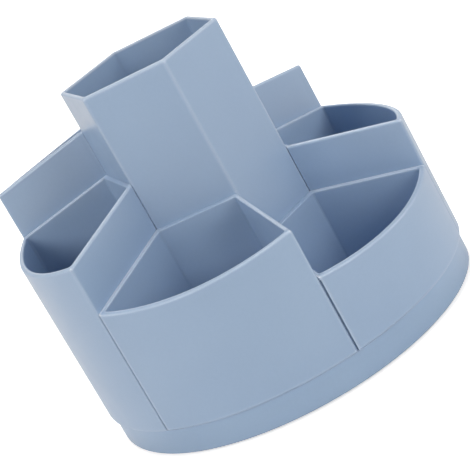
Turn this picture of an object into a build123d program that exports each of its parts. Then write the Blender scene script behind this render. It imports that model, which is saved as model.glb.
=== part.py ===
from build123d import *
import os
from math import cos, radians, sin, tan

# Rotating pen holder: six bins in rising steps round a hexagonal cup, on a turntable with a ball bearing.
# Millimetres. +Z is up, the desk is Z = 0, it turns about Z, and the lowest bin faces -Y.

# Bins in order round the ring, anticlockwise from the lowest
BIN_NAMES = ["front_bin", "front_right_bin", "back_right_bin", "back_bin", "back_left_bin", "front_left_bin"]
FRONT_ANGLE = -90  # degrees from +X that the lowest bin faces

# Ring of bins and central cup
BODY_RADIUS = 72.5  # outside of the ring of bins
TOTAL_HEIGHT = 120.4  # rim of the central cup above the desk
TOWER_FLATS = 55.0  # central cup across its flats
FRONT_RIM_HEIGHT = 49.4  # rim of the lowest bin where it meets the central cup
RIM_STEP = 18.5  # rise of the rim from one step to the next
RIM_SLOPE = 13.3  # degrees that a bin's rim falls away outwards
BIN_GAP = 0.1  # between neighbouring bins
TOWER_GAP = 0.08  # between the bins and the central cup

# Moulded walls of the cups
WALL = 1.5  # thickness at the rim
OUTER_WALL = 1.9  # thickness at the rim of a bin's round outer wall
FLOOR = 1.8
DRAFT = 0.4  # degrees that the inside narrows towards the floor
TOWER_CORNER_RADIUS = 1.2  # upright outer corners of the central cup
CORNER_RADIUS = 0.7  # upright outer corners of a bin
INNER_CORNER_RADIUS = 0.6  # upright inner corners
FLOOR_ROUND = 0.5  # inside, where the walls meet the floor
RIM_ROUND_SHARE = 0.66  # of the wall, on the rim's outer edge where it stands free
RIM_INNER_ROUND_SHARE = 0.32  # of the wall, on the rim's inner edge
BIN_FOOT_ROUND = 0.6  # lower outer edge of a bin, which overhangs the base

# Channel down the outside of a bin, along each neighbour that stands taller
CHANNEL_WIDTH = 0.5
CHANNEL_DEPTH = 0.9
CHANNEL_STOP = 1.4  # from the rim down to the channel's end

# Fixed base
BASE_INSET = 1.3  # the base's ring is set in from the bins by this much
BASE_TOP = 11.4  # top of the ring above the desk
BASE_WALL = 1.6
BASE_FLOOR = 2.2
BASE_FOOT_ROUND = 0.8  # lower outer edge
BASE_RIM_ROUND = 0.2  # upper edges of the ring
POST_RADIUS = 7.0  # centre post that the turntable turns on
POST_WALL = 1.6  # the post is cored out from below, round a boss for the screw
RIB_COUNT = 6
RIB_THICKNESS = 1.4

# Rubber feet
FOOT_COUNT = 6
FOOT_RADIUS = 5.0
FOOT_THICKNESS = 2.0
FOOT_PROUD = 1.0  # how far the feet stand out under the base
FOOT_INSET = 11.0  # from the base's edge to the middle of a foot
FOOT_CLEARANCE = 0.2
FOOT_EDGE_ROUND = 0.4

# Turntable
TURNTABLE_THICKNESS = 2.2
TURNTABLE_CLEARANCE = 0.6  # between its edge and the base's ring
RUNNING_GAP = 0.25  # between the bins' feet and the top of the base's ring
LIP_WIDTH = 1.6  # down-turned edge
LIP_DEPTH = 2.4
HUB_WALL = 2.4
HUB_CLEARANCE = 0.08  # running fit on the post
HUB_FOOT_GAP = 0.6  # between the hub and the base's ribs

# Raised pads that locate the cups
PAD_HEIGHT = 2.0
PAD_CLEARANCE = 0.2  # between a pad and the walls that stand round it
PAD_LEDGE = 0.4  # from a pad to the turntable's edge
PAD_HEADROOM = 0.5  # between a pad and the floor of its bin
PAD_HOLE_RADIUS = 13.0  # opening in the central pad, round the washer

# Ball bearing
BALL_COUNT = 12
BALL_RADIUS = 2.5
BALL_CLEARANCE = 0.15
RACE_INSET = 25.0  # from the base's edge to the middle of the balls
RACE_WIDTH = 9.0
CAGE_WIDTH = 8.4
CAGE_THICKNESS = 1.6
CAGE_GAP = 0.3  # between the cage and each race

# Screw and washer that hold the turntable down
WASHER_RADIUS = 10.0
WASHER_THICKNESS = 1.2
WASHER_GAP = 0.3  # play between the washer and the turntable
SCREW_RADIUS = 1.5
SCREW_CLEARANCE = 0.05
SCREW_LENGTH = 8.0
SCREW_TIP_GAP = 0.6  # between the screw's tip and the bottom of its hole
HEAD_RADIUS = 3.2
HEAD_HEIGHT = 2.2
HEAD_CROWN_SHARE = 0.6  # of the head's height, rounded off at its edge
HEAD_SLOT_WIDTH = 0.9
HEAD_SLOT_LENGTH = 3.6
HEAD_SLOT_DEPTH = 1.2
HEADROOM = 0.8  # between the screw's head and the central cup

# Places that follow from those sizes
base_radius = BODY_RADIUS - BASE_INSET
ring_inside = base_radius - BASE_WALL
floor_top = FOOT_PROUD + BASE_FLOOR
seat_height = BASE_TOP + RUNNING_GAP
turntable_radius = ring_inside - TURNTABLE_CLEARANCE
turntable_under = seat_height - TURNTABLE_THICKNESS
pad_radius = turntable_radius - PAD_LEDGE
pad_inset = WALL + PAD_CLEARANCE
screw_hole = SCREW_RADIUS + SCREW_CLEARANCE
hub_bore = POST_RADIUS + HUB_CLEARANCE
hub_radius = hub_bore + HUB_WALL
post_top = seat_height + WASHER_GAP
washer_top = post_top + WASHER_THICKNESS
ball_height = (floor_top + turntable_under) / 2
race_radius = base_radius - RACE_INSET
race_land = CAGE_THICKNESS / 2 + CAGE_GAP
race_groove = BALL_RADIUS + BALL_CLEARANCE
lower_race_top = ball_height - race_land
upper_race_foot = ball_height + race_land
hub_foot = lower_race_top + HUB_FOOT_GAP
foot_circle = base_radius - FOOT_INSET
bin_recess = PAD_HEIGHT + PAD_HEADROOM
tower_recess = washer_top + HEAD_HEIGHT + HEADROOM - seat_height
bin_floor_top = seat_height + bin_recess + FLOOR
tower_floor_top = seat_height + tower_recess + FLOOR
bin_angle = 360 / len(BIN_NAMES)
half_turn = radians(bin_angle / 2)
corner_reach = BODY_RADIUS * cos(half_turn)
corner_drop = (corner_reach - TOWER_FLATS / 2) * tan(radians(RIM_SLOPE))
rim_round = WALL * RIM_ROUND_SHARE
rim_inner_round = WALL * RIM_INNER_ROUND_SHARE

os.makedirs("parts", exist_ok=True)


def rim_steps(index):
    """How many steps a bin's rim is above the lowest, by its place in the ring."""
    place = index % len(BIN_NAMES)
    return min(place, len(BIN_NAMES) - place)


def outward_plane(place, height):
    """Level plane whose x axis points outwards through the bin at this place, or between two at a half."""
    return Plane.XY.offset(height).rotated((0, 0, FRONT_ANGLE + place * bin_angle))


def draw_bin_plan(outer_radius, inset):
    """Draw a bin's plan in the open sketch: a wedge, flat towards the central cup and round outside."""
    near = TOWER_FLATS / 2 + TOWER_GAP + inset
    far = 2 * outer_radius
    apex = (BIN_GAP / 2 + inset) / sin(half_turn)
    near_half = (near - apex) * tan(half_turn)
    far_half = (far - apex) * tan(half_turn)
    Polygon((near, -near_half), (far, -far_half), (far, far_half), (near, near_half), align=None)
    Circle(outer_radius, mode=Mode.INTERSECT)


def draw_tower_plan(inset):
    """Draw the central cup's plan in the open sketch, with a corner between each pair of bins."""
    RegularPolygon(TOWER_FLATS / 2 - inset, len(BIN_NAMES), major_radius=False)


# Base: floor, ring, lower race and centre post, with radial ribs between them
with BuildPart() as base:
    with BuildSketch(Plane.XZ):
        with BuildLine():
            Polyline(
                (0, FOOT_PROUD),
                (base_radius, FOOT_PROUD),
                (base_radius, BASE_TOP),
                (ring_inside, BASE_TOP),
                (ring_inside, floor_top),
                (race_radius + RACE_WIDTH / 2, floor_top),
                (race_radius + RACE_WIDTH / 2, lower_race_top),
                (race_radius - RACE_WIDTH / 2, lower_race_top),
                (race_radius - RACE_WIDTH / 2, floor_top),
                (POST_RADIUS, floor_top),
                (POST_RADIUS, post_top),
                (0, post_top),
                close=True,
            )
        make_face()
    revolve(axis=Axis.Z)
    fillet(base.edges().filter_by(GeomType.CIRCLE).group_by(Axis.Z)[0], BASE_FOOT_ROUND)
    fillet(base.edges().filter_by(GeomType.CIRCLE).group_by(Axis.Z)[-2], BASE_RIM_ROUND)
    with BuildSketch(Plane.XY.offset(floor_top)):
        with PolarLocations((POST_RADIUS + ring_inside) / 2, RIB_COUNT):
            Rectangle(ring_inside - POST_RADIUS + BASE_WALL, RIB_THICKNESS)
    extrude(amount=lower_race_top - floor_top)
    with BuildSketch(Plane.XZ):
        with Locations((race_radius, ball_height)):
            Circle(race_groove)
    revolve(axis=Axis.Z, mode=Mode.SUBTRACT)
    with BuildSketch(Plane.XY.offset(FOOT_PROUD)):
        with PolarLocations(foot_circle, FOOT_COUNT):
            Circle(FOOT_RADIUS + FOOT_CLEARANCE)
    extrude(amount=FOOT_THICKNESS - FOOT_PROUD, mode=Mode.SUBTRACT)
    with BuildSketch(Plane.XY.offset(FOOT_PROUD)):
        Circle(POST_RADIUS - POST_WALL)
        Circle(screw_hole + POST_WALL, mode=Mode.SUBTRACT)
    extrude(amount=post_top - POST_WALL - FOOT_PROUD, mode=Mode.SUBTRACT)
    with Locations((0, 0, post_top)):
        Hole(screw_hole, depth=SCREW_LENGTH - WASHER_THICKNESS + SCREW_TIP_GAP)
base.part.label = "base"
export_step(base.part, "parts/base.step")

# Rubber feet, each in its recess under the base
for index, place in enumerate(PolarLocations(foot_circle, FOOT_COUNT)):
    with BuildPart() as foot_pad:
        with BuildSketch(Plane(place)):
            Circle(FOOT_RADIUS)
        extrude(amount=FOOT_THICKNESS)
        fillet(foot_pad.edges().group_by(Axis.Z)[0], FOOT_EDGE_ROUND)
    name = f"foot_pad_{index + 1}"
    foot_pad.part.label = name
    export_step(foot_pad.part, f"parts/{name}.step")

# Balls, half sunk in the race of the base and half in that of the turntable
for index, place in enumerate(PolarLocations(race_radius, BALL_COUNT)):
    with BuildPart(Plane.XY.offset(ball_height)) as bearing_ball:
        with Locations(place):
            Sphere(BALL_RADIUS)
    name = f"bearing_ball_{index + 1:02d}"
    bearing_ball.part.label = name
    export_step(bearing_ball.part, f"parts/{name}.step")

# Cage: a flat ring with a pocket for each ball
with BuildPart() as ball_cage:
    with BuildSketch(Plane.XY.offset(ball_height - CAGE_THICKNESS / 2)):
        Circle(race_radius + CAGE_WIDTH / 2)
        Circle(race_radius - CAGE_WIDTH / 2, mode=Mode.SUBTRACT)
        with PolarLocations(race_radius, BALL_COUNT):
            Circle(race_groove, mode=Mode.SUBTRACT)
    extrude(amount=CAGE_THICKNESS)
ball_cage.part.label = "ball_cage"
export_step(ball_cage.part, "parts/ball_cage.step")

# Turntable: disc, down-turned lip, upper race and hub, with ribs below and a locating pad for each cup above
with BuildPart() as turntable:
    with BuildSketch(Plane.XZ):
        with BuildLine():
            Polyline(
                (hub_bore, hub_foot),
                (hub_bore, seat_height),
                (turntable_radius, seat_height),
                (turntable_radius, turntable_under - LIP_DEPTH),
                (turntable_radius - LIP_WIDTH, turntable_under - LIP_DEPTH),
                (turntable_radius - LIP_WIDTH, turntable_under),
                (race_radius + RACE_WIDTH / 2, turntable_under),
                (race_radius + RACE_WIDTH / 2, upper_race_foot),
                (race_radius - RACE_WIDTH / 2, upper_race_foot),
                (race_radius - RACE_WIDTH / 2, turntable_under),
                (hub_radius, turntable_under),
                (hub_radius, hub_foot),
                close=True,
            )
        make_face()
    revolve(axis=Axis.Z)
    rib_inside = (hub_bore + hub_radius) / 2
    rib_outside = turntable_radius - LIP_WIDTH / 2
    with BuildSketch(Plane.XY.offset(turntable_under)):
        with PolarLocations((rib_inside + rib_outside) / 2, RIB_COUNT):
            Rectangle(rib_outside - rib_inside, RIB_THICKNESS)
    extrude(amount=upper_race_foot - turntable_under)
    with BuildSketch(Plane.XZ):
        with Locations((race_radius, ball_height)):
            Circle(race_groove)
    revolve(axis=Axis.Z, mode=Mode.SUBTRACT)
    for index in range(len(BIN_NAMES)):
        with BuildSketch(outward_plane(index, seat_height)):
            draw_bin_plan(pad_radius, pad_inset)
            fillet(vertices(), INNER_CORNER_RADIUS)
        extrude(amount=PAD_HEIGHT)
    with BuildSketch(Plane.XY.offset(seat_height)):
        draw_tower_plan(pad_inset)
        fillet(vertices(), INNER_CORNER_RADIUS)
        Circle(PAD_HOLE_RADIUS, mode=Mode.SUBTRACT)
    extrude(amount=PAD_HEIGHT)
turntable.part.label = "turntable"
export_step(turntable.part, "parts/turntable.step")

# Washer on top of the post, which keeps the turntable from lifting off
with BuildPart() as pivot_washer:
    with BuildSketch(Plane.XY.offset(post_top)):
        Circle(WASHER_RADIUS)
        Circle(screw_hole, mode=Mode.SUBTRACT)
    extrude(amount=WASHER_THICKNESS)
pivot_washer.part.label = "pivot_washer"
export_step(pivot_washer.part, "parts/pivot_washer.step")

# Screw through the washer into the post, with a crossed slot in its rounded head
with BuildPart() as pivot_screw:
    with BuildSketch(Plane.XY.offset(washer_top)):
        Circle(HEAD_RADIUS)
    extrude(amount=HEAD_HEIGHT)
    fillet(pivot_screw.edges().group_by(Axis.Z)[-1], HEAD_HEIGHT * HEAD_CROWN_SHARE)
    with BuildSketch(Plane.XY.offset(washer_top)):
        Circle(SCREW_RADIUS)
    extrude(amount=-SCREW_LENGTH)
    with BuildSketch(Plane.XY.offset(washer_top + HEAD_HEIGHT)):
        Rectangle(HEAD_SLOT_LENGTH, HEAD_SLOT_WIDTH)
        Rectangle(HEAD_SLOT_WIDTH, HEAD_SLOT_LENGTH)
    extrude(amount=-HEAD_SLOT_DEPTH, mode=Mode.SUBTRACT)
pivot_screw.part.label = "pivot_screw"
export_step(pivot_screw.part, "parts/pivot_screw.step")

# Central cup: a hexagonal tube with a raised floor, hollow below for its pad and the screw
with BuildPart() as tower_cup:
    with BuildSketch(Plane.XY.offset(seat_height)):
        draw_tower_plan(0)
        fillet(vertices(), TOWER_CORNER_RADIUS)
    extrude(amount=TOTAL_HEIGHT - seat_height)
    inside_depth = TOTAL_HEIGHT - tower_floor_top
    with BuildSketch(Plane.XY.offset(tower_floor_top)):
        draw_tower_plan(WALL + inside_depth * tan(radians(DRAFT)))
        fillet(vertices(), INNER_CORNER_RADIUS)
    extrude(amount=inside_depth, taper=-DRAFT, mode=Mode.SUBTRACT)
    with BuildSketch(Plane.XY.offset(seat_height)):
        draw_tower_plan(WALL)
        fillet(vertices(), INNER_CORNER_RADIUS)
    extrude(amount=tower_recess, mode=Mode.SUBTRACT)
    fillet(tower_cup.faces().filter_by(Axis.Z).sort_by(Axis.Z)[-1].outer_wire().edges(), rim_round)
    fillet(tower_cup.faces().filter_by(Axis.Z).sort_by(Axis.Z)[-1].inner_wires().edges(), rim_inner_round)
    fillet(tower_cup.faces().filter_by(Axis.Z).sort_by(Axis.Z)[-2].edges(), FLOOR_ROUND)
tower_cup.part.label = "tower_cup"
export_step(tower_cup.part, "parts/tower_cup.step")

# Bins: wedge cups alike in plan, each cut off by its own sloping rim, which is rounded where it stands free
for index, name in enumerate(BIN_NAMES):
    rim_height = FRONT_RIM_HEIGHT + rim_steps(index) * RIM_STEP
    taller_sides = [side for side in (-1, 1) if rim_steps(index + side) > rim_steps(index)]
    outward = outward_plane(index, 0).x_dir
    across = Axis((0, 0, 0), outward_plane(index, 0).y_dir)
    upward = Axis.Z.direction
    rim_plane = Plane(
        origin=outward * TOWER_FLATS / 2 + upward * rim_height,
        z_dir=outward * sin(radians(RIM_SLOPE)) + upward * cos(radians(RIM_SLOPE)),
    )
    with BuildPart() as bin_cup:
        with BuildSketch(outward_plane(index, seat_height)):
            draw_bin_plan(BODY_RADIUS, 0)
        extrude(amount=rim_height - seat_height)
        split(bisect_by=rim_plane, keep=Keep.BOTTOM)
        fillet(bin_cup.edges().filter_by(GeomType.CIRCLE).sort_by(Axis.Z)[0], BIN_FOOT_ROUND)
        rim_edges = bin_cup.faces().filter_by(rim_plane)[0].edges().sort_by(across)
        side_edges = {-1: rim_edges[0], 1: rim_edges[-1]}
        free_sides = [side_edges[side] for side in side_edges if side not in taller_sides]
        fillet(rim_edges.filter_by(GeomType.ELLIPSE) + free_sides, rim_round)
        with BuildSketch(outward_plane(index, seat_height)):
            draw_bin_plan(BODY_RADIUS, 0)
            fillet(vertices().group_by(SortBy.DISTANCE)[-1], CORNER_RADIUS)
        extrude(amount=rim_height - seat_height, mode=Mode.INTERSECT)
        inside_depth = rim_height - bin_floor_top
        narrowing = inside_depth * tan(radians(DRAFT))
        with BuildSketch(outward_plane(index, bin_floor_top)):
            draw_bin_plan(BODY_RADIUS - OUTER_WALL - narrowing, WALL + narrowing)
            fillet(vertices(), INNER_CORNER_RADIUS)
        extrude(amount=inside_depth, taper=-DRAFT, mode=Mode.SUBTRACT)
        with BuildSketch(outward_plane(index, seat_height)):
            draw_bin_plan(pad_radius + PAD_CLEARANCE, WALL)
            fillet(vertices(), INNER_CORNER_RADIUS)
        extrude(amount=bin_recess, mode=Mode.SUBTRACT)
        fillet(bin_cup.faces().filter_by(rim_plane)[0].inner_wires().edges(), rim_inner_round)
        fillet(bin_cup.faces().filter_by(Axis.Z).sort_by(Axis.Z)[-1].edges(), FLOOR_ROUND)
        for side in taller_sides:
            with BuildSketch(outward_plane(index + side / 2, seat_height)):
                with Locations((BODY_RADIUS, 0)):
                    Rectangle(2 * CHANNEL_DEPTH, 2 * CHANNEL_WIDTH + BIN_GAP)
            extrude(amount=rim_height - corner_drop - CHANNEL_STOP - seat_height, mode=Mode.SUBTRACT)
    bin_cup.part.label = name
    export_step(bin_cup.part, f"parts/{name}.step")
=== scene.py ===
import math

import bmesh
import bpy
from mathutils import Matrix, Vector


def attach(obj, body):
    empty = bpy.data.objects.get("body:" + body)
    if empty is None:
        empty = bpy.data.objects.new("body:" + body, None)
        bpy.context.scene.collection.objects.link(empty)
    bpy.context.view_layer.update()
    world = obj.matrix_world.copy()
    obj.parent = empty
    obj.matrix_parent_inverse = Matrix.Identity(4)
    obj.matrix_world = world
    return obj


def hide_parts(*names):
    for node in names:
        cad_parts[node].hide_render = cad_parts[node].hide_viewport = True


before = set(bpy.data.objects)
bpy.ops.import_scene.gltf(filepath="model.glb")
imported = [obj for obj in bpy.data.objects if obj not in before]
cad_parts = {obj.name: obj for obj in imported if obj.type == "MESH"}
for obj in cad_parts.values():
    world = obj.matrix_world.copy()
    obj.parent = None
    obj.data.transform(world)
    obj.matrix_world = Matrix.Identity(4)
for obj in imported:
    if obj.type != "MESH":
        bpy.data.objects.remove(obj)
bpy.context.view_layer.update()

# Rotating pen holder: six satin plastic bins in rising steps round a hexagonal cup, on a round base.
# Metres, in the frame of the solids: +Z is up, the desk is Z = 0, and the lowest bin faces -Y.

MM = 0.001

# Places and sizes that the solids have, in millimetres
BIN_FLOOR = 15.95
TOWER_FLOOR = 17.95
BASE_UNDERSIDE = 1.0
FOOT_CIRCLE = 60.2
FOOT_RADIUS = 5.0
FOOT_THICKNESS = 2.0
FOOT_COUNT = 6
BALL_COUNT = 12
WASHER_FOOT = 11.95
WASHER_TOP = 13.15
WASHER_RADIUS = 10.0
WASHER_BORE = 1.55
SHANK_RADIUS = 1.5
SHANK_TIP = 5.15

# Each bin and the way that it faces, in degrees from +X
BIN_DIRECTIONS = {
    "front_bin": -90,
    "front_left_bin": -150,
    "front_right_bin": -30,
    "back_left_bin": 150,
    "back_right_bin": 30,
    "back_bin": 90,
}

# Blender's start-up objects
for name in ("Cube", "Light", "Camera"):
    if name in bpy.data.objects:
        bpy.data.objects.remove(bpy.data.objects[name])


def polar(radius, degrees):
    """The place at this distance from the axis and this direction."""
    return radius * math.cos(math.radians(degrees)), radius * math.sin(math.radians(degrees))


# Materials

# How strongly edges that face up are paled: a painted highlight, with some rubbed wear
RIM_HIGHLIGHT = 0.8
# Distances from the axis, in millimetres, between which the rims beside the tower, which take less painted
# highlight as the tower's painted shade, give way to the others
INNER_RIMS_START, INNER_RIMS_END = 30, 34


def linear(hex_colour):
    """Linear RGBA of an sRGB hex colour."""
    shares = [int(hex_colour[start : start + 2], 16) / 255 for start in (1, 3, 5)]
    return [s / 12.92 if s <= 0.04045 else ((s + 0.055) / 1.055) ** 2.4 for s in shares] + [1.0]


def per_metre(size_mm):
    """Texture scale at which a pattern's features are about this many millimetres across."""
    return 1 / (size_mm * MM)


def add_node(tree, kind, inputs=None, **settings):
    """Add a node with its settings. An input takes a value, an output to link, or a node to link."""
    node = tree.nodes.new("ShaderNode" + kind)
    for setting, value in settings.items():
        setattr(node, setting, value)
    for socket, value in (inputs or {}).items():
        if isinstance(value, bpy.types.Node):
            value = next(output for output in value.outputs if output.enabled)
        if isinstance(value, bpy.types.NodeSocket):
            tree.links.new(value, node.inputs[socket])
        else:
            node.inputs[socket].default_value = value
    return node


def new_material(name):
    """A material and its empty tree."""
    material = bpy.data.materials.new(name)
    material.use_nodes = True
    material.node_tree.nodes.clear()
    return material, material.node_tree


def sharp_turns(tree, reach_mm, inside, open_share):
    """1 along outer edges, or along inner corners if not inside, and 0 on flats. At a full turn, no more
    than this share of the way into the solid, or out of it, is clear within this reach."""
    clear = add_node(
        tree, "AmbientOcclusion", {"Distance": reach_mm * MM}, inside=inside, only_local=True, samples=8
    )
    return add_node(
        tree, "MapRange", {"Value": clear.outputs["AO"], "From Min": 0.96, "From Max": open_share}
    )


def satin_moulded_abs(name, pale, deep, highlight_colour, corner_shade, upright_highlight, inner_highlight):
    """ABS moulded in a spark-eroded tool: an even body colour with a soft satin sheen and a very fine grain.
    The colour drifts a little along the flow of the plastic, and handling polishes it in soft patches.
    The rims are painted paler, a painted highlight with some rubbed wear, and the inner corners are painted
    darker, a painted shade. Upright edges, and edges close round the tower, take the painted highlight by
    shares of their own, those by the tower less as the tower's painted shade."""
    material, tree = new_material(name)
    place = add_node(tree, "TexCoord").outputs["Object"]
    flow = add_node(tree, "TexNoise", {"Vector": place, "Scale": per_metre(34)})
    fleck = add_node(tree, "TexNoise", {"Vector": place, "Scale": per_metre(1.1), "Detail": 1.0})
    drift = add_node(tree, "Math", {0: fleck, 1: 0.34, 2: flow}, operation="MULTIPLY_ADD")
    drift_share = add_node(tree, "MapRange", {"Value": drift, "From Min": 0.42, "From Max": 0.92})
    body = add_node(
        tree, "Mix", {"Factor": drift_share, "A": linear(deep), "B": linear(pale)}, data_type="RGBA"
    )
    # Edges are paled, a painted highlight with some rubbed wear, by the way that they face, up-facing ones
    # most, and by their distance from the axis, less beside the tower as its painted shade
    facing = add_node(tree, "SeparateXYZ", {0: add_node(tree, "NewGeometry").outputs["Normal"]})
    facing_highlight = add_node(
        tree,
        "MapRange",
        {"Value": facing.outputs["Z"], "From Max": 0.5, "To Min": upright_highlight, "To Max": RIM_HIGHLIGHT},
    )
    level_place = add_node(tree, "VectorMath", {0: place, 1: (1, 1, 0)}, operation="MULTIPLY")
    from_axis = add_node(tree, "VectorMath", {0: level_place}, operation="LENGTH")
    beside_tower_highlight = add_node(
        tree,
        "MapRange",
        {
            "Value": from_axis,
            "From Min": INNER_RIMS_START * MM,
            "From Max": INNER_RIMS_END * MM,
            "To Min": inner_highlight,
        },
    )
    highlight_share = add_node(tree, "Math", {0: facing_highlight, 1: beside_tower_highlight}, operation="MULTIPLY")
    # Painted highlight, with some rubbed wear: outer edges are mixed towards the pale edge colour
    highlight_and_rub = add_node(tree, "Math", {0: sharp_turns(tree, 1.2, True, 0.55), 1: highlight_share}, operation="MULTIPLY")
    highlit_body = add_node(tree, "Mix", {"Factor": highlight_and_rub, "A": body, "B": linear(highlight_colour)}, data_type="RGBA")
    # Painted shade: inner corners are mixed towards the darker corner colour
    corner_shade_share = sharp_turns(tree, 1.0, False, 0.8)
    colour = add_node(
        tree, "Mix", {"Factor": corner_shade_share, "A": highlit_body, "B": linear(corner_shade)}, data_type="RGBA"
    )
    # Polished patches, as wide as a fingertip
    patches = add_node(tree, "TexNoise", {"Vector": place, "Scale": per_metre(9), "Detail": 3.0})
    rough = add_node(
        tree,
        "MapRange",
        {"Value": patches, "From Min": 0.3, "From Max": 0.7, "To Min": 0.29, "To Max": 0.36},
    )
    # The tool's grain is about 0.1 mm wide, and is drawn at 0.9 mm so that it shows
    grain = add_node(tree, "TexNoise", {"Vector": place, "Scale": per_metre(0.9)})
    bump = add_node(tree, "Bump", {"Height": grain, "Distance": 0.01 * MM})
    shader = add_node(
        tree, "BsdfPrincipled", {"Base Color": colour, "Roughness": rough, "Normal": bump, "IOR": 1.6}
    )
    add_node(tree, "OutputMaterial", {"Surface": shader})
    return material


def natural_acetal(name):
    """Uncoloured acetal: a waxy, milky white that light sinks into, with faint swirls and a dull polish."""
    material, tree = new_material(name)
    place = add_node(tree, "TexCoord").outputs["Object"]
    swirl = add_node(tree, "TexNoise", {"Vector": place, "Scale": per_metre(6), "Detail": 4.0})
    swirl_share = add_node(tree, "MapRange", {"Value": swirl, "From Min": 0.35, "From Max": 0.65})
    colour = add_node(
        tree,
        "Mix",
        {"Factor": swirl_share, "A": linear("#DAD7CC"), "B": linear("#ECEAE3")},
        data_type="RGBA",
    )
    slip = add_node(tree, "TexNoise", {"Vector": place, "Scale": per_metre(2.5)})
    rough = add_node(
        tree, "MapRange", {"Value": slip, "From Min": 0.3, "From Max": 0.7, "To Min": 0.3, "To Max": 0.45}
    )
    # The tool's grain is about 0.1 mm wide, and is drawn at 0.8 mm so that it shows
    grain = add_node(tree, "TexNoise", {"Vector": place, "Scale": per_metre(0.8)})
    bump = add_node(tree, "Bump", {"Height": grain, "Distance": 0.01 * MM})
    shader = add_node(
        tree,
        "BsdfPrincipled",
        {
            "Base Color": colour,
            "Roughness": rough,
            "Normal": bump,
            "Subsurface Weight": 0.25,
            "Subsurface Radius": (0.8 * MM, 0.7 * MM, 0.6 * MM),
            "Subsurface Scale": 1.0,
        },
    )
    add_node(tree, "OutputMaterial", {"Surface": shader})
    return material


def polished_bearing_steel(name):
    """Hardened steel ball: a near mirror, hazed a little by fine running marks and a film of grease."""
    material, tree = new_material(name)
    place = add_node(tree, "TexCoord").outputs["Object"]
    film = add_node(tree, "TexNoise", {"Vector": place, "Scale": per_metre(1.8), "Detail": 3.0})
    film_share = add_node(tree, "MapRange", {"Value": film, "From Min": 0.4, "From Max": 0.7})
    colour = add_node(
        tree, "Mix", {"Factor": film_share, "A": linear("#C9CBCE"), "B": linear("#BDBDB8")}, data_type="RGBA"
    )
    rough = add_node(
        tree, "MapRange", {"Value": film, "From Min": 0.35, "From Max": 0.75, "To Min": 0.08, "To Max": 0.28}
    )
    # Running marks are a few hundredths of a millimetre wide, and are drawn at 0.4 mm so that they show
    marks = add_node(tree, "TexNoise", {"Vector": place, "Scale": per_metre(0.4), "Detail": 4.0})
    bump = add_node(tree, "Bump", {"Height": marks, "Distance": 0.002 * MM})
    shader = add_node(
        tree, "BsdfPrincipled", {"Base Color": colour, "Roughness": rough, "Normal": bump, "Metallic": 1.0}
    )
    add_node(tree, "OutputMaterial", {"Surface": shader})
    return material


def zinc_plated_steel(name):
    """Bright zinc on steel: cool silver with cloudy yellow and blue from its passivation, dulled in patches
    and paler along worn edges."""
    material, tree = new_material(name)
    place = add_node(tree, "TexCoord").outputs["Object"]
    cloud = add_node(tree, "TexNoise", {"Vector": place, "Scale": per_metre(3.5), "Detail": 3.0})
    cloud_share = add_node(tree, "MapRange", {"Value": cloud, "From Min": 0.35, "From Max": 0.65})
    tint = add_node(
        tree,
        "Mix",
        {"Factor": cloud_share, "A": linear("#B4BAC4"), "B": linear("#C4C1B4")},
        data_type="RGBA",
    )
    worn = sharp_turns(tree, 0.4, True, 0.55)
    colour = add_node(tree, "Mix", {"Factor": worn, "A": tint, "B": linear("#D2D3D4")}, data_type="RGBA")
    dulling = add_node(tree, "TexNoise", {"Vector": place, "Scale": per_metre(1.2), "Detail": 3.0})
    rough = add_node(
        tree,
        "MapRange",
        {"Value": dulling, "From Min": 0.3, "From Max": 0.7, "To Min": 0.29, "To Max": 0.44},
    )
    # Zinc crystals are a few hundredths of a millimetre wide, and are drawn at 0.5 mm so that they show
    crystals = add_node(tree, "TexNoise", {"Vector": place, "Scale": per_metre(0.5), "Detail": 3.0})
    bump = add_node(tree, "Bump", {"Height": crystals, "Distance": 0.006 * MM})
    shader = add_node(
        tree, "BsdfPrincipled", {"Base Color": colour, "Roughness": rough, "Normal": bump, "Metallic": 1.0}
    )
    add_node(tree, "OutputMaterial", {"Surface": shader})
    return material


def moulded_rubber(name):
    """Dark grey rubber: matt and slightly soft to the eye, with a pale bloom of dust in patches."""
    material, tree = new_material(name)
    place = add_node(tree, "TexCoord").outputs["Object"]
    patches = add_node(tree, "TexNoise", {"Vector": place, "Scale": per_metre(4)})
    specks = add_node(tree, "TexNoise", {"Vector": place, "Scale": per_metre(0.7)})
    dust = add_node(tree, "Math", {0: patches, 1: specks}, operation="MULTIPLY")
    dust_share = add_node(tree, "MapRange", {"Value": dust, "From Min": 0.18, "From Max": 0.5})
    colour = add_node(
        tree, "Mix", {"Factor": dust_share, "A": linear("#34373C"), "B": linear("#6A6A68")}, data_type="RGBA"
    )
    rough = add_node(
        tree, "MapRange", {"Value": dust, "From Min": 0.15, "From Max": 0.4, "To Min": 0.62, "To Max": 0.85}
    )
    # The tool's grain is about 0.1 mm wide, and is drawn at 0.6 mm so that it shows
    grain = add_node(tree, "TexNoise", {"Vector": place, "Scale": per_metre(0.6)})
    bump = add_node(tree, "Bump", {"Height": grain, "Distance": 0.02 * MM})
    shader = add_node(tree, "BsdfPrincipled", {"Base Color": colour, "Roughness": rough, "Normal": bump})
    add_node(tree, "OutputMaterial", {"Surface": shader})
    return material


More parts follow.
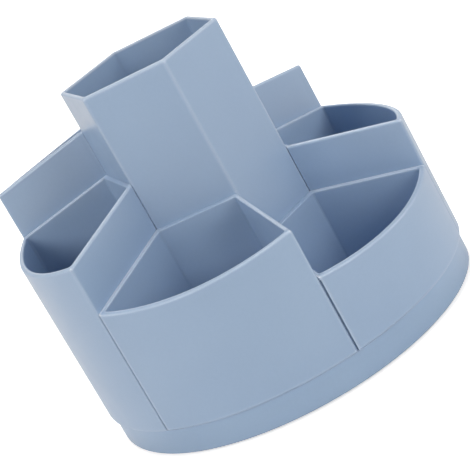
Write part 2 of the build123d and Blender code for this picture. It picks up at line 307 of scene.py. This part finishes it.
# The pale edge colours and shares are painted highlight, with some rubbed wear, and the corner colours are
# painted shade
bin_abs = satin_moulded_abs(
    "Satin moulded ABS, bins",
    pale="#90ABCC",
    deep="#8BA6C8",
    highlight_colour="#D2DFF0",
    corner_shade="#7C96B8",
    upright_highlight=0.3,
    inner_highlight=0.1,
)
tower_abs = satin_moulded_abs(
    "Satin moulded ABS, tower",
    pale="#90ABCC",
    deep="#8BA6C8",
    highlight_colour="#D2DFF0",
    corner_shade="#7C96B8",
    upright_highlight=1.2,
    inner_highlight=1.0,
)
base_abs = satin_moulded_abs(
    "Satin moulded ABS, base",
    pale="#8EAACB",
    deep="#89A5C7",
    highlight_colour="#BFD0E5",
    corner_shade="#7C96B8",
    upright_highlight=0.1,
    inner_highlight=1.0,
)
acetal = natural_acetal("Natural acetal")
ball_steel = polished_bearing_steel("Polished bearing steel")
plated_steel = zinc_plated_steel("Zinc-plated steel")
rubber = moulded_rubber("Moulded rubber")

node_materials = {name: bin_abs for name in BIN_DIRECTIONS}
node_materials |= {"tower_cup": tower_abs, "base": base_abs, "turntable": base_abs}
node_materials |= {"ball_cage": acetal, "pivot_screw": plated_steel}
node_materials |= {f"bearing_ball_{number:02d}": ball_steel for number in range(1, BALL_COUNT + 1)}
for name, material in node_materials.items():
    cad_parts[name].data.materials[0] = material


# Pieces that are finer than the solids, in millimetres until they are turned

def turn(bm, profile, centre, steps=48):
    """Add a turned form: points of radius and height, spun about an upright axis at a place."""
    centre_x, centre_y = centre[0] * MM, centre[1] * MM
    verts = [bm.verts.new((centre_x + radius * MM, centre_y, height * MM)) for radius, height in profile]
    edges = [bm.edges.new(pair) for pair in zip(verts, verts[1:])]
    bmesh.ops.spin(
        bm,
        geom=verts + edges,
        cent=(centre_x, centre_y, 0),
        axis=(0, 0, 1),
        dvec=(0, 0, 0),
        angle=math.tau,
        steps=steps,
        use_merge=True,
        use_duplicate=False,
    )


def add_piece(name, bm, material, body):
    """Turn a form into a piece that rides on a body, smooth where it curves and crisp at its edges."""
    bmesh.ops.remove_doubles(bm, verts=bm.verts, dist=0.0005 * MM)
    bmesh.ops.recalc_face_normals(bm, faces=bm.faces)
    mesh = bpy.data.meshes.new(name)
    bm.to_mesh(mesh)
    bm.free()
    mesh.shade_smooth()
    mesh.set_sharp_from_angle(angle=math.radians(40))
    mesh.materials.append(material)
    piece = bpy.data.objects.new(name, mesh)
    bpy.context.scene.collection.objects.link(piece)
    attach(piece, body)
    return piece


# Rubber feet: each has two gripping rings below and a rounded edge
FOOT_GROOVE = 0.35  # depth of the hollows between the rings
FOOT_PROFILE = [
    (0, FOOT_GROOVE),
    (1.3, FOOT_GROOVE),
    (1.5, 0),
    (2.4, 0),
    (2.6, FOOT_GROOVE),
    (3.2, FOOT_GROOVE),
    (3.4, 0),
    (4.5, 0),
    (4.75, 0.07),
    (4.93, 0.25),
    (FOOT_RADIUS, 0.5),
    (FOOT_RADIUS, FOOT_THICKNESS - 0.2),
    (FOOT_RADIUS - 0.2, FOOT_THICKNESS),
    (0, FOOT_THICKNESS),
]
for number in range(FOOT_COUNT):
    foot_bm = bmesh.new()
    turn(foot_bm, FOOT_PROFILE, polar(FOOT_CIRCLE, 360 * number / FOOT_COUNT))
    foot = add_piece(f"ringed_foot_{number + 1}", foot_bm, rubber, "base")
    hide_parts(f"foot_pad_{number + 1}")

# Washer: pressed from sheet, rounded over on its upper edge and sharp below
WASHER_ROUND = 0.3  # upper outer edge
WASHER_BORE_EDGE = 0.2  # upper edge of the bore
WASHER_PROFILE = [
    (WASHER_BORE, WASHER_FOOT),
    (WASHER_RADIUS, WASHER_FOOT),
    (WASHER_RADIUS, WASHER_TOP - WASHER_ROUND),
    (WASHER_RADIUS - 0.3 * WASHER_ROUND, WASHER_TOP - 0.3 * WASHER_ROUND),
    (WASHER_RADIUS - WASHER_ROUND, WASHER_TOP),
    (WASHER_BORE + WASHER_BORE_EDGE, WASHER_TOP),
    (WASHER_BORE, WASHER_TOP - WASHER_BORE_EDGE),
    (WASHER_BORE, WASHER_FOOT),
]
washer_bm = bmesh.new()
turn(washer_bm, WASHER_PROFILE, (0, 0), steps=72)
washer = add_piece("pressed_washer", washer_bm, plated_steel, "base")
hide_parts("pivot_washer")

# Screw thread: a sharp ridge that winds up the shank and bites into the post
THREAD_PITCH = 1.1
THREAD_HEIGHT = 0.3
THREAD_HALF_WIDTH = 0.25
THREAD_SINK = 0.1  # how far the ridge's foot is sunk in the shank
THREAD_START = SHANK_TIP + 0.6
THREAD_STEPS = 32
THREAD_TURNS = 5
ridge = [
    (SHANK_RADIUS - THREAD_SINK, THREAD_START + THREAD_HALF_WIDTH),
    (SHANK_RADIUS + THREAD_HEIGHT, THREAD_START),
    (SHANK_RADIUS - THREAD_SINK, THREAD_START - THREAD_HALF_WIDTH),
]
thread_bm = bmesh.new()
thread_verts = [thread_bm.verts.new((radius * MM, 0, height * MM)) for radius, height in ridge]
thread_face = thread_bm.faces.new(thread_verts)
bmesh.ops.spin(
    thread_bm,
    geom=[thread_face, *thread_face.edges, *thread_face.verts],
    cent=(0, 0, 0),
    axis=(0, 0, 1),
    dvec=(0, 0, THREAD_PITCH * MM / THREAD_STEPS),
    angle=math.tau * THREAD_TURNS,
    steps=THREAD_STEPS * THREAD_TURNS,
    use_merge=False,
    use_duplicate=False,
)
add_piece("screw_thread", thread_bm, plated_steel, "base")

# Ejector marks on the cups' floors: round pads that the mould's pins leave, each with a shallow rim
MARK_RADIUS = 2.5
MARK_PAD = 0.06  # height of the pad
MARK_RIM = 0.16  # height of its rim
MARK_PROFILE = [
    (0, MARK_PAD),
    (MARK_RADIUS - 0.4, MARK_PAD),
    (MARK_RADIUS - 0.3, MARK_RIM),
    (MARK_RADIUS, MARK_RIM),
    (MARK_RADIUS, -0.1),
]
# One mark near the tower and two near the outer wall of a bin, and six in the tower
NEAR_MARK_CIRCLE = 38
FAR_MARK_CIRCLE = 61
FAR_MARK_TURN = 17  # degrees to either side
TOWER_MARK_CIRCLE = 17


def add_ejector_marks(name, body, floor, places):
    """Ejector marks at places on a cup's floor."""
    bm = bmesh.new()
    for place in places:
        turn(bm, [(radius, floor + rise) for radius, rise in MARK_PROFILE], place, steps=32)
    add_piece(name, bm, node_materials[body], body)


for name, direction in BIN_DIRECTIONS.items():
    mark_places = [
        polar(NEAR_MARK_CIRCLE, direction),
        polar(FAR_MARK_CIRCLE, direction - FAR_MARK_TURN),
        polar(FAR_MARK_CIRCLE, direction + FAR_MARK_TURN),
    ]
    add_ejector_marks(f"{name}_ejector_marks", name, BIN_FLOOR, mark_places)
tower_places = [polar(TOWER_MARK_CIRCLE, direction) for direction in BIN_DIRECTIONS.values()]
add_ejector_marks("tower_cup_ejector_marks", "tower_cup", TOWER_FLOOR, tower_places)

# Gate marks under the base: the dimples where the plastic was let in, each with its broken-off pip
GATE_CIRCLE = 30
GATE_DIRECTIONS = (30, 150, 270)
GATE_PROFILE = [(0, -0.35), (0.5, -0.3), (0.6, 0.02), (2.2, 0.02), (2.4, -0.08), (2.7, -0.08), (2.8, 0.1)]
gate_points = [(radius, BASE_UNDERSIDE + rise) for radius, rise in GATE_PROFILE]
gate_bm = bmesh.new()
for direction in GATE_DIRECTIONS:
    turn(gate_bm, gate_points, polar(GATE_CIRCLE, direction), steps=32)
add_piece("base_gate_marks", gate_bm, base_abs, "base")


# Camera: looks down a little on the corner between two bins, rolled so that the object leans to the left
VIEW_AZIMUTH = math.radians(-42.77)
VIEW_ELEVATION = math.radians(16.758)
VIEW_ROLL = math.radians(-29.254)
VIEW_DISTANCE = 620.256 * MM
VIEW_TARGET = Vector((-0.431, 0.398, 45.87)) * MM
VIEW_LENS = 131.51  # millimetres, on a sensor of the width below
SENSOR_WIDTH = 36

camera_data = bpy.data.cameras.new("camera")
camera_data.sensor_width = SENSOR_WIDTH
camera_data.lens = VIEW_LENS
camera = bpy.data.objects.new("camera", camera_data)
bpy.context.scene.collection.objects.link(camera)
back = Vector(
    (
        math.sin(VIEW_AZIMUTH) * math.cos(VIEW_ELEVATION),
        -math.cos(VIEW_AZIMUTH) * math.cos(VIEW_ELEVATION),
        math.sin(VIEW_ELEVATION),
    )
)
upright = back.to_track_quat("Z", "Y").to_matrix().to_4x4()
camera.matrix_world = (
    Matrix.Translation(VIEW_TARGET + back * VIEW_DISTANCE) @ upright @ Matrix.Rotation(VIEW_ROLL, 4, "Z")
)
bpy.context.scene.camera = camera


# Light and surroundings

# Soft boxes that stand round the object, with the camera's side left dark, and one overhead: the way that
# each stands from the object in degrees from +X, how high in degrees, and its watts
SOFTBOXES = {
    "back_right_softbox": (45, 20, 33.3),
    "back_left_softbox": (135, 26, 9.8),
    "left_softbox": (180, 26, 16.5),
    "front_softbox": (270, 16, 16.8),
    "right_softbox": (315, 26, 9.9),
    "top_softbox": (0, 90, 19.4),
}
SOFTBOX_DISTANCE = 2.0
SOFTBOX_SIZE = 1.0
LIGHT_TINT = "#FFF6EC"

for name, (direction, rise, watts) in SOFTBOXES.items():
    light_data = bpy.data.lights.new(name, "AREA")
    light_data.shape = "SQUARE"
    light_data.size = SOFTBOX_SIZE
    light_data.energy = watts
    light_data.color = linear(LIGHT_TINT)[:3]
    light = bpy.data.objects.new(name, light_data)
    reach_x, reach_y = polar(SOFTBOX_DISTANCE * math.cos(math.radians(rise)), direction)
    outward = Vector((reach_x, reach_y, SOFTBOX_DISTANCE * math.sin(math.radians(rise))))
    light.location = VIEW_TARGET + outward
    light.rotation_euler = outward.to_track_quat("Z", "Y").to_euler()
    bpy.context.scene.collection.objects.link(light)
# The low one behind only lights, so that no rim flashes white
bpy.data.objects["back_right_softbox"].visible_glossy = False

# Surroundings: white where they are seen, pale where they are mirrored, and dark where they would light
# the object
STUDIO_SEEN = 1.0
STUDIO_MIRRORED = 0.7
STUDIO_LIGHT = 0.02

world = bpy.data.worlds.new("white studio")
bpy.context.scene.world = world
world.use_nodes = True
studio = world.node_tree
studio.nodes.clear()
path = add_node(studio, "LightPath")
mirrored = add_node(
    studio,
    "MapRange",
    {"Value": path.outputs["Is Glossy Ray"], "To Min": STUDIO_LIGHT, "To Max": STUDIO_MIRRORED},
)
glow = add_node(
    studio,
    "MapRange",
    {"Value": path.outputs["Is Camera Ray"], "To Min": mirrored, "To Max": STUDIO_SEEN},
)
backdrop = add_node(studio, "Background", {"Color": linear("#FFFFFF"), "Strength": glow})
add_node(studio, "OutputWorld", {"Surface": backdrop})

# Floor: pale and plain, lifted to white where it is seen, with the object's soft shadow kept
FLOOR_REACH = 3.0
FLOOR_LIFT = 0.6

floor_bm = bmesh.new()
bmesh.ops.create_grid(floor_bm, x_segments=1, y_segments=1, size=FLOOR_REACH)
floor_mesh = bpy.data.meshes.new("floor")
floor_bm.to_mesh(floor_mesh)
floor_bm.free()
floor = bpy.data.objects.new("floor", floor_mesh)
bpy.context.scene.collection.objects.link(floor)
paper, paper_tree = new_material("White paper backdrop")
paper_seen = add_node(paper_tree, "LightPath").outputs["Is Camera Ray"]
paper_lift = add_node(paper_tree, "MapRange", {"Value": paper_seen, "To Max": FLOOR_LIFT})
paper_shader = add_node(
    paper_tree,
    "BsdfPrincipled",
    {
        "Base Color": linear("#F0F0F0"),
        "Roughness": 0.9,
        "Emission Color": linear("#FFFFFF"),
        "Emission Strength": paper_lift,
    },
)
add_node(paper_tree, "OutputMaterial", {"Surface": paper_shader})
floor_mesh.materials.append(paper)

bpy.context.scene.view_settings.view_transform = "Standard"
